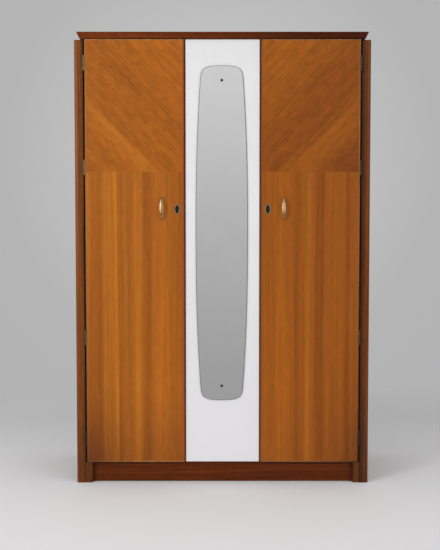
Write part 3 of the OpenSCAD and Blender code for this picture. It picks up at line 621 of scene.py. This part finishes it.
def makeMirror():
    low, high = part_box("mirror_glass")
    middle = (low + high) / 2
    halfHigh, halfWide = (high.z - low.z) / 2, (high.x - low.x) / 2

    def sideAt(v):
        return halfWide - glass["bow"] * mm * v ** glass["bowPower"]

    quarter = []
    for i in range(glass["sideSteps"]):
        v = glass["straight"] * i / glass["sideSteps"]
        quarter.append((sideAt(v), v * halfHigh))
    for i in range(1, glass["cornerSteps"] + 1):
        a = math.pi / 2 * i / glass["cornerSteps"]
        v = math.sin(a) ** (2 / glass["endPower"])
        if v >= glass["straight"]:
            quarter.append((sideAt(v) * max(0.0, math.cos(a)) ** (2 / glass["cornerPower"]), v * halfHigh))
    half = quarter + [(-x, z) for x, z in reversed(quarter[:-1])]
    outline = half + [(x, -z) for x, z in reversed(half[1:-1])]
    clearSelection()
    bpy.ops.mesh.primitive_circle_add(vertices=len(outline), radius=1.0, fill_type="NGON",
                                      location=(0, 0, 0), rotation=(0, 0, 0))
    obj = bpy.context.object
    spots = sorted(obj.data.vertices, key=lambda v: math.atan2(v.co.y, v.co.x) % (2 * math.pi - 1e-6))
    for vertex, (x, z) in zip(spots, outline):
        vertex.co = (middle.x + x, high.y, middle.z + z)
    bpy.ops.object.mode_set(mode="EDIT")
    bpy.ops.mesh.select_all(action="SELECT")
    bpy.ops.mesh.extrude_region_move(TRANSFORM_OT_translate={"value": (0, low.y - high.y, 0)})
    bpy.ops.object.mode_set(mode="OBJECT")
    for face in obj.data.polygons:
        face.select = face.normal.y ** 2 > 0.8 and abs(face.center.y - low.y) < 0.1 * mm
    bpy.ops.object.mode_set(mode="EDIT")
    bpy.ops.mesh.select_mode(type="FACE")
    bpy.ops.mesh.bevel(offset=glass["edge"] * mm, segments=2, affect="EDGES")
    bpy.ops.object.mode_set(mode="OBJECT")
    screwsLow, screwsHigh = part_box("mirror_screws")
    inset = glass["screwInset"] * mm
    for screw in (screwsLow.z + inset, screwsHigh.z - inset):
        clearSelection()
        bpy.ops.mesh.primitive_cylinder_add(
            vertices=32, radius=glass["holeRadius"] * mm, depth=glass["cutDepth"] * mm,
            location=(middle.x, middle.y, screw), rotation=(math.pi / 2, 0, 0))
        cutter = bpy.context.object
        applyModifier(obj, "BOOLEAN", operation="DIFFERENCE", object=cutter, solver="EXACT")
        bpy.data.objects.remove(cutter)
    obj.data.materials.append(silvered)
    obj.data.materials.append(groundEdge)
    for face in obj.data.polygons:
        face.material_index = 0 if face.normal.y < -0.99 else 1
    return finishPiece(obj, "silvered_mirror", [], "carcass", ("mirror_glass",), 12)


for side in ("left", "right"):
    makeHandle(side)
    makeKeyPlate(side)
print("handles and keyhole plates made")

# panel pins that hold the hardboard back
backPins = {"headRadius": 2.2, "headHeight": 0.9, "shoulder": 0.9, "dome": 0.35,
            "pitch": 118, "edgeInset": 5, "seamInset": 9, "bottomInset": 24}


def makeBackPins():
    low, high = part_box("back_panels")
    clearSelection()
    bpy.ops.mesh.primitive_cylinder_add(vertices=12, radius=backPins["headRadius"] * mm,
                                        depth=backPins["headHeight"] * mm, rotation=(math.pi / 2, 0, 0))
    pin = bpy.context.object
    bpy.ops.object.transform_apply(location=True, rotation=True, scale=True)
    bpy.ops.object.mode_set(mode="EDIT")
    bpy.ops.mesh.select_mode(type="FACE")
    bpy.ops.mesh.select_all(action="DESELECT")
    bpy.ops.object.mode_set(mode="OBJECT")
    for face in pin.data.polygons:
        face.select = face.normal.y > 0.9
    bpy.ops.object.mode_set(mode="EDIT")
    bpy.ops.mesh.inset(thickness=backPins["shoulder"] * mm)
    bpy.ops.transform.translate(value=(0, backPins["dome"] * mm, 0))
    bpy.ops.object.mode_set(mode="OBJECT")
    inset, seam, pitch = backPins["edgeInset"] * mm, backPins["seamInset"] * mm, backPins["pitch"] * mm
    columns = [low.x + inset, -seam, seam, high.x - inset]
    ends = [low.z + backPins["bottomInset"] * mm, high.z - inset]
    tall, wide = high.z - low.z - 2 * inset, high.x - low.x - 2 * inset
    rows, across = round(tall / pitch), round(wide / pitch)
    spots = [(x, low.z + inset + tall * i / rows) for x in columns for i in range(rows + 1)]
    spots += [(low.x + inset + wide * i / across, z) for i in range(1, across) for z in ends]
    copies = []
    for x, z in spots:
        copy = pin.copy()
        copy.data = pin.data.copy()
        copy.location = (x, high.y + backPins["headHeight"] * mm / 2, z)
        bpy.context.scene.collection.objects.link(copy)
        copies.append(copy)
    bpy.data.objects.remove(pin)
    clearSelection()
    for copy in copies:
        copy.select_set(True)
    bpy.context.view_layer.objects.active = copies[0]
    bpy.ops.object.join()
    return finishPiece(bpy.context.object, "back_panel_pins", [zincSteel], "carcass", (), 30)


makeBackPins()
print("panel pins made")
mirror = makeMirror()
print("mirror made")

# studio
# the floor is painted darker towards the back: painted shade
studio = {"middle": (0.0, 0.15, 0.0), "solidRadius": 1.2, "radius": 2.15, "stretch": 2.0,
          "nearTone": "e9e9eb", "shadedFarTone": "d0d0d1", "farFrom": -0.1, "farTo": 1.2}


def makeStudio():
    clearSelection()
    bpy.ops.mesh.primitive_circle_add(vertices=96, radius=studio["radius"], fill_type="NGON",
                                      location=studio["middle"])
    floor = bpy.context.object
    floor.scale = (studio["stretch"], 1, 1)
    bpy.ops.object.transform_apply(location=True, rotation=True, scale=True)
    floor.name = "studio_floor"
    mat, tree, shader, place = newFinish("Studio paper", **{"Roughness": 0.9, "Specular IOR Level": 0.1})
    depth = addNode(tree, "ShaderNodeSeparateXYZ", links={0: place}).outputs["Y"]
    away = addNode(tree, "ShaderNodeMapRange", {"interpolation_type": "SMOOTHSTEP"}, {
        "Value": depth, "From Min": studio["farFrom"], "From Max": studio["farTo"]})
    tone = addNode(tree, "ShaderNodeMix", {"data_type": "RGBA"}, {
        0: away.outputs[0], 6: linear(studio["nearTone"]), 7: linear(studio["shadedFarTone"])})
    tree.links.new(tone.outputs[2], shader.inputs["Base Color"])
    # the paper thins out to nothing at its rim, so that it has no edge
    oval = addNode(tree, "ShaderNodeMapping", links={"Vector": place, "Scale": (1 / studio["stretch"], 1, 1)})
    reach = addNode(tree, "ShaderNodeVectorMath", {"operation": "DISTANCE"}, {
        0: oval.outputs[0], 1: studio["middle"]})
    solid = addNode(tree, "ShaderNodeMapRange", {"interpolation_type": "SMOOTHSTEP"}, {
        "Value": reach.outputs["Value"], "From Min": studio["solidRadius"], "From Max": studio["radius"],
        "To Min": 1.0, "To Max": 0.0})
    tree.links.new(solid.outputs[0], shader.inputs["Alpha"])
    floor.data.materials.append(mat)


# the mirror shows the room but not the lamps, which would blot it out with white blocks
keptOff = bpy.data.collections.new("kept off by the lamps")
keptOff.objects.link(mirror)
keptOff.collection_objects[0].light_linking.link_state = "EXCLUDE"


def makeLamp(name, size, place, target, power):
    data = bpy.data.lights.new(name, "AREA")
    data.shape = "RECTANGLE"
    data.size, data.size_y = size
    data.energy = power
    lamp = bpy.data.objects.new(name, data)
    bpy.context.scene.collection.objects.link(lamp)
    lamp.location = place
    lamp.rotation_euler = (Vector(target) - Vector(place)).to_track_quat("-Z", "Y").to_euler()
    lamp.light_linking.receiver_collection = keptOff


makeStudio()
lamps = {
    "key": ((1.8, 2.6), (-3.9, -4.6, 1.9), (0.0, 0.0, 0.9), 156),
    "fill": ((2.2, 2.6), (3.9, -4.6, 1.4), (0.0, 0.0, 0.8), 60),
    "top": ((2.4, 1.2), (0.0, 0.2, 4.2), (0.0, 0.9, 1.4), 20),
}
for lampName, (size, place, target, power) in lamps.items():
    makeLamp(lampName, size, place, target, power)

world = bpy.data.worlds.new("studio air")
bpy.context.scene.world = world
world.use_nodes = True
sky = world.node_tree
sky.nodes.clear()
direction = addNode(sky, "ShaderNodeTexCoord").outputs["Generated"]
heading = addNode(sky, "ShaderNodeSeparateXYZ", links={0: direction})
level = addNode(sky, "ShaderNodeMapRange", links={
    "Value": heading.outputs["Z"], "From Min": -0.4, "From Max": 0.4})
room = addNode(sky, "ShaderNodeValToRGB", links={"Fac": level.outputs[0]})  # what the mirror looks out on
setRamp(room, [(0.0, 0.30), (0.30, 0.355), (0.5, 0.475), (0.66, 0.63), (1.0, 0.78)])
off = addNode(sky, "ShaderNodeVectorMath", {"operation": "DISTANCE"}, {0: direction, 1: (0.0, 1.0, 0.06)})
spread = addNode(sky, "ShaderNodeMapRange", links={
    "Value": off.outputs["Value"], "From Min": 0.0, "From Max": 0.5})
wall = addNode(sky, "ShaderNodeValToRGB", links={"Fac": spread.outputs[0]})  # behind: lightest in the middle
setRamp(wall, [(0.0, 0.58), (0.2, 0.54), (0.42, 0.46), (1.0, 0.42)])
behind = addNode(sky, "ShaderNodeMapRange", {"interpolation_type": "SMOOTHSTEP"}, {
    "Value": heading.outputs["Y"], "From Min": -0.3, "From Max": 0.3})
glow = addNode(sky, "ShaderNodeMix", {"data_type": "RGBA"}, {
    0: behind.outputs[0], 6: room.outputs["Color"], 7: wall.outputs["Color"]})
air = addNode(sky, "ShaderNodeBackground", links={"Color": glow.outputs[2], "Strength": 1.0})
addNode(sky, "ShaderNodeOutputWorld", links={"Surface": air.outputs[0]})

# camera
view = {"place": (-0.01, -4.248, 1.06), "down": 3.2, "lens": 66.0}
lensData = bpy.data.cameras.new("front camera")
lensData.lens = view["lens"]
lensData.sensor_width = 36
camera = bpy.data.objects.new("front camera", lensData)
bpy.context.scene.collection.objects.link(camera)
camera.location = view["place"]
camera.rotation_euler = (math.radians(90 - view["down"]), 0, 0)
bpy.context.scene.camera = camera
bpy.context.scene.view_settings.view_transform = "Standard"
print("studio and camera set")
